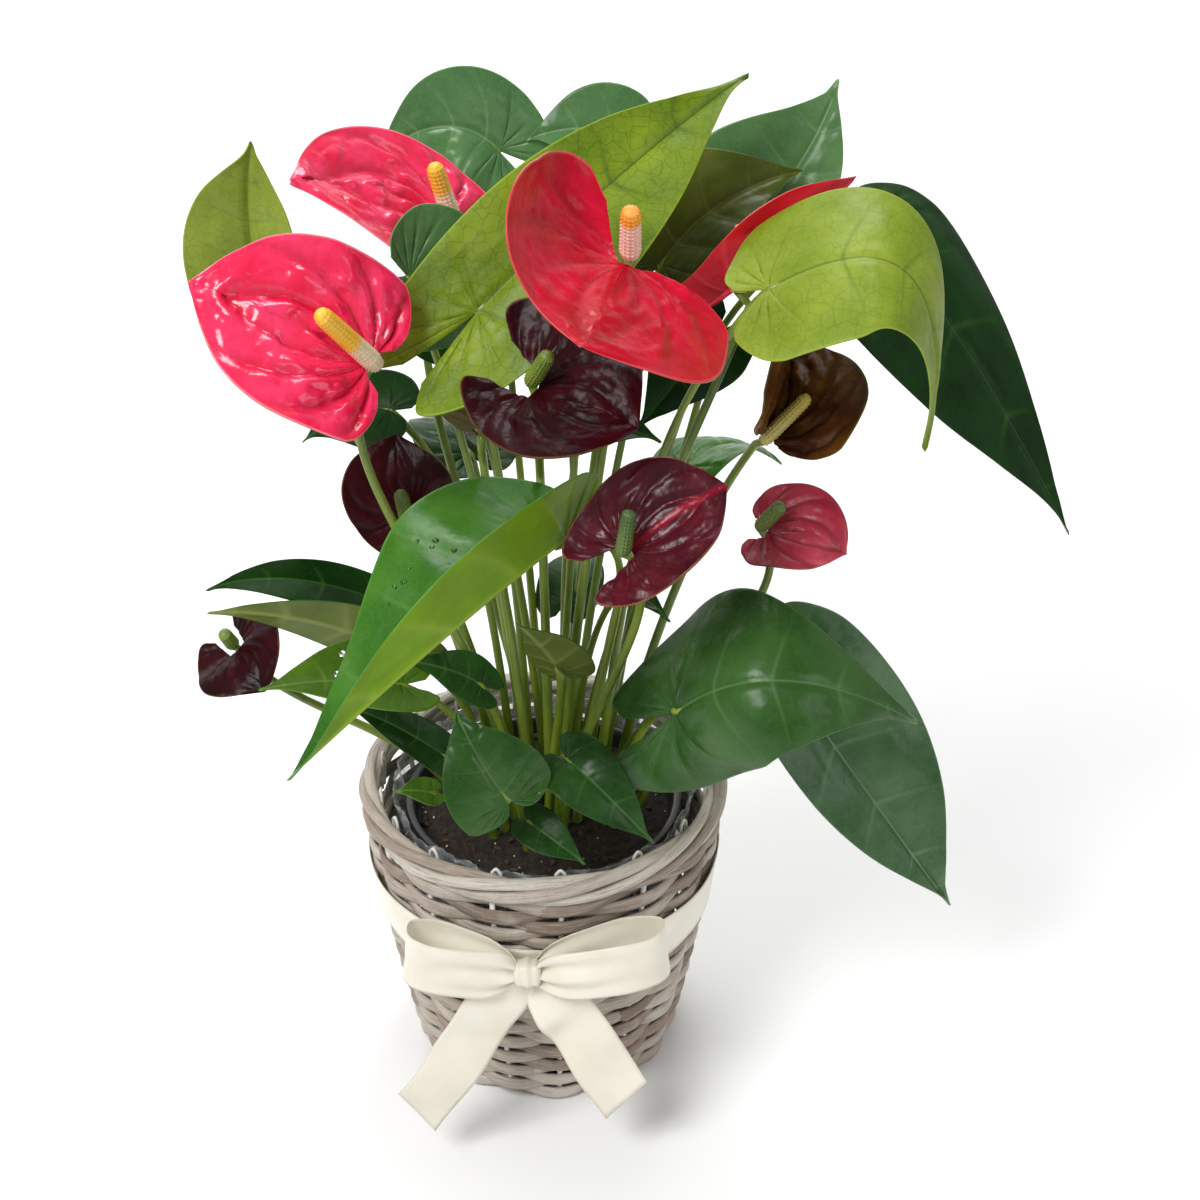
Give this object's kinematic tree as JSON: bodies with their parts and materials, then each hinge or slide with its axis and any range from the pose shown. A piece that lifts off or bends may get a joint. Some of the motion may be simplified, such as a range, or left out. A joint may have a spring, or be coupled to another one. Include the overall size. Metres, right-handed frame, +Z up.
{
  "type": "anthurium in a basket",
  "caption": "Potted flowering anthurium with red and maroon spathes and glossy heart-shaped leaves, in a woven willow basket tied with a cream satin bow.",
  "frame": {"origin": "centre of the basket's base, on the surface it stands on", "axes": "+Z up; -Y towards the bow at the front; +X to the right of someone facing the bow"},
  "size_m": [0.3522, 0.2505, 0.4368],
  "materials": {
    "washed_willow": "matte, grey-brown washed split willow",
    "coated_wire": "pale plastic-coated wire",
    "clear_film": "thin clear crinkled plastic film",
    "pot_plastic": "black thin-walled plastic",
    "potting_soil": "rough dark peat with bark and perlite",
    "cream_satin": "satin ribbon with a soft sheen",
    "leaf": "waxy glossy living leaf",
    "flower_stalk": "smooth green living stalk",
    "spathe_red": "waxy glossy red spathe",
    "spathe_maroon": "waxy glossy dark maroon spathe"
  },
  "bodies": {
    "root": {"basket_wall": "washed_willow", "basket_border": "washed_willow", "basket_base": "washed_willow", "basket_stakes": "coated_wire", "film_liner": "clear_film", "nursery_pot": "pot_plastic", "soil": "potting_soil", "ribbon_band": "cream_satin", "bow_knot": "cream_satin", "bow_loop_left": "cream_satin", "bow_loop_right": "cream_satin", "ribbon_tail_left": "cream_satin", "ribbon_tail_right": "cream_satin", "leaf_01": "leaf", "leaf_02": "leaf", "leaf_03": "leaf", "leaf_04": "leaf", "leaf_05": "leaf", "leaf_06": "leaf", "leaf_07": "leaf", "leaf_08": "leaf", "leaf_09": "leaf", "leaf_10": "leaf", "leaf_11": "leaf", "leaf_12": "leaf", "leaf_13": "leaf", "leaf_14": "leaf", "leaf_15": "leaf", "leaf_16": "leaf", "leaf_17": "leaf", "leaf_18": "leaf", "leaf_19": "leaf", "leaf_20": "leaf", "leaf_21": "leaf", "leaf_22": "leaf", "leaf_23": "leaf", "leaf_24": "leaf", "spathe_01": "spathe_red", "spathe_02": "spathe_red", "spathe_03": "spathe_red", "spathe_04": "spathe_red", "spathe_05": "spathe_maroon", "spathe_06": "spathe_maroon", "spathe_07": "spathe_maroon", "spathe_08": "spathe_maroon", "spathe_09": "spathe_maroon", "spathe_10": "spathe_maroon", "spathe_11": "spathe_maroon", "stalk_01": "flower_stalk", "stalk_02": "flower_stalk", "stalk_03": "flower_stalk", "stalk_04": "flower_stalk", "stalk_05": "flower_stalk", "stalk_06": "flower_stalk", "stalk_07": "flower_stalk", "stalk_08": "flower_stalk", "stalk_09": "flower_stalk", "stalk_10": "flower_stalk", "stalk_11": "flower_stalk"}
  },
  "joints": []
}
